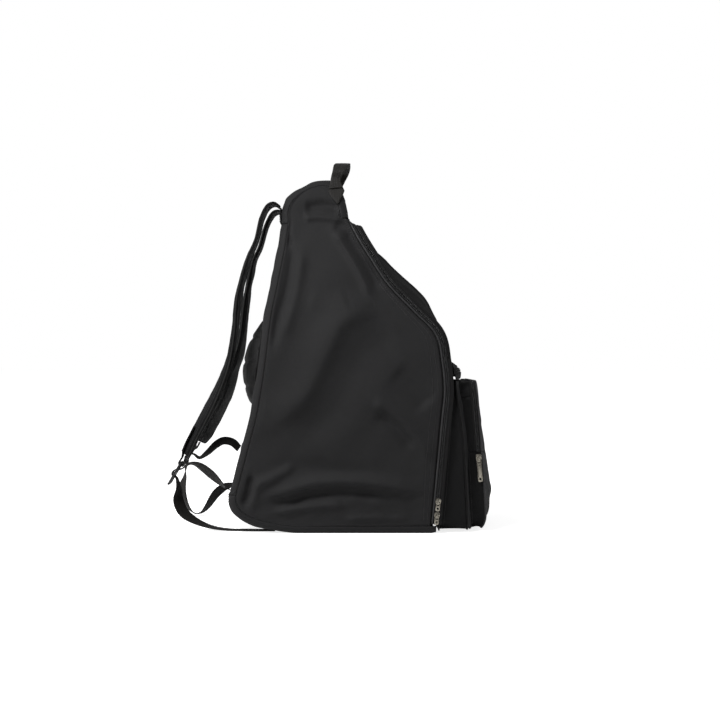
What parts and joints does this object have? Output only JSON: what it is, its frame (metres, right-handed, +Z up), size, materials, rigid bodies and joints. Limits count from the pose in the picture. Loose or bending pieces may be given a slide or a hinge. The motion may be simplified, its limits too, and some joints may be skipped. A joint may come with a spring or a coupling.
{
  "type": "skate bag",
  "caption": "Wedge-shaped backpack for ice skates with a fold-forward zipped front, two stacked front pockets, padded shoulder straps and a grab handle.",
  "frame": {"origin": "on the underside of the base panel, on the bag's middle plane, where the bag stands on the floor", "axes": "+Z up, -Y towards the front with the pockets, +Y towards the wearer's back and the shoulder straps, +X towards the wearer's right"},
  "size_m": [0.3071, 0.4763, 0.535],
  "materials": {
    "nylon": "matte woven nylon",
    "gusset": "matte woven nylon",
    "padding": "padded nylon",
    "webbing": "woven webbing",
    "zip": "woven tape with nylon coil",
    "plastic": "satin acetal",
    "board": "matte sheet",
    "nickel": "plated die-cast"
  },
  "bodies": {
    "bag": {"back_board": "board", "back_panel": "nylon", "base_board": "board", "base_panel": "nylon", "corner_tab_left": "webbing", "corner_tab_right": "webbing", "front_lower_panel": "nylon", "front_piping": "nylon", "front_zip_fixed": "zip", "front_zip_lower_left": "zip", "front_zip_lower_right": "zip", "handle_anchor_left": "webbing", "handle_anchor_right": "webbing", "large_pocket_front": "nylon", "large_pocket_front_lip": "nylon", "large_pocket_gusset": "gusset", "large_pocket_rear_lip": "nylon", "large_pocket_zip": "zip", "lumbar_pad": "padding", "side_panel_left": "nylon", "side_panel_right": "nylon", "small_pocket_front": "nylon", "small_pocket_gusset": "gusset", "small_pocket_zip_fixed": "zip", "strap_anchor_left": "webbing", "strap_anchor_right": "webbing", "top_cap": "nylon", "webbing_left": "webbing", "webbing_right": "webbing"},
    "front_flap": {"front_flap": "nylon", "front_zip_flap": "zip"},
    "small_pocket_flap": {"small_pocket_flap": "nylon", "small_pocket_zip_flap": "zip"},
    "strap_left": {"strap_pad_left": "padding", "strap_end_left": "webbing"},
    "strap_right": {"strap_pad_right": "padding", "strap_end_right": "webbing"},
    "ladder_lock_left": {"ladder_lock_left": "plastic"},
    "ladder_lock_right": {"ladder_lock_right": "plastic"},
    "handle": {"handle_loop": "webbing"},
    "main_upper_slider": {"main_upper_slider": "nickel"},
    "main_upper_pull": {"main_upper_pull": "nickel"},
    "main_lower_slider": {"main_lower_slider": "nickel"},
    "main_lower_pull": {"main_lower_pull": "nickel"},
    "small_pocket_slider": {"small_pocket_slider": "nickel"},
    "small_pocket_pull": {"small_pocket_pull": "nickel"},
    "large_pocket_slider": {"large_pocket_slider": "nickel"},
    "large_pocket_pull": {"large_pocket_pull": "nickel"}
  },
  "joints": [
    {"name": "front_flap_fold", "type": "hinge", "parent": "bag", "child": "front_flap", "pos_m": [0, -0.1424, 0.2445], "axis": [1, 0, 0], "range_deg": [0, 110]},
    {"name": "small_pocket_flap_fold", "type": "hinge", "parent": "bag", "child": "small_pocket_flap", "pos_m": [0, -0.19987, 0.1125], "axis": [1, 0, 0], "range_deg": [0, 140]},
    {"name": "strap_left_swing", "type": "hinge", "parent": "bag", "child": "strap_left", "pos_m": [-0.055, 0.101, 0.4655], "axis": [1, 0, 0], "range_deg": [0, 1.5], "deforming": ["webbing_left"]},
    {"name": "strap_right_swing", "type": "hinge", "parent": "bag", "child": "strap_right", "pos_m": [0.055, 0.101, 0.4655], "axis": [1, 0, 0], "range_deg": [0, 1.5], "deforming": ["webbing_right"]},
    {"name": "ladder_lock_left_tilt", "type": "hinge", "parent": "strap_left", "child": "ladder_lock_left", "pos_m": [-0.088, 0.24186, 0.09501], "axis": [1, 0, 0], "range_deg": [-5, 15], "deforming": ["webbing_left"]},
    {"name": "ladder_lock_right_tilt", "type": "hinge", "parent": "strap_right", "child": "ladder_lock_right", "pos_m": [0.088, 0.24248, 0.10754], "axis": [1, 0, 0], "range_deg": [-5, 15], "deforming": ["webbing_right"]},
    {"name": "handle_swing", "type": "hinge", "parent": "bag", "child": "handle", "pos_m": [0, 0.0195, 0.4935], "axis": [1, 0, 0], "range_deg": [-8, 32]},
    {"name": "main_upper_slider_run", "type": "slide", "parent": "bag", "child": "main_upper_slider", "axis": [0.0245, -0.0958, 0.9951], "range_m": [0, 0.11]},
    {"name": "main_upper_pull_swing", "type": "hinge", "parent": "main_upper_slider", "child": "main_upper_pull", "pos_m": [-0.15203, -0.12432, 0.04358], "axis": [0, 0.9954, 0.0958], "range_deg": [0, 150]},
    {"name": "main_lower_slider_run", "type": "slide", "parent": "bag", "child": "main_lower_slider", "axis": [0.0245, -0.0958, 0.9951], "range_m": [-0.009, 0]},
    {"name": "main_lower_pull_swing", "type": "hinge", "parent": "main_lower_slider", "child": "main_lower_pull", "pos_m": [-0.15251, -0.12249, 0.02458], "axis": [0, 0.9954, 0.0958], "range_deg": [0, 150]},
    {"name": "small_pocket_slider_run", "type": "slide", "parent": "bag", "child": "small_pocket_slider", "axis": [0.0238, 0.0713, 0.9972], "range_m": [0, 0.07]},
    {"name": "small_pocket_pull_swing", "type": "hinge", "parent": "small_pocket_slider", "child": "small_pocket_pull", "pos_m": [-0.12487, -0.18334, 0.10249], "axis": [0, 0.9975, -0.0713], "range_deg": [0, 150]},
    {"name": "large_pocket_slider_run", "type": "slide", "parent": "bag", "child": "large_pocket_slider", "axis": [1, 0, 0], "range_m": [-0.16, 0]},
    {"name": "large_pocket_pull_swing", "type": "hinge", "parent": "large_pocket_slider", "child": "large_pocket_pull", "pos_m": [0.07898, -0.162, 0.23229], "axis": [0, 0.5582, 0.8297], "range_deg": [0, 150]}
  ]
}
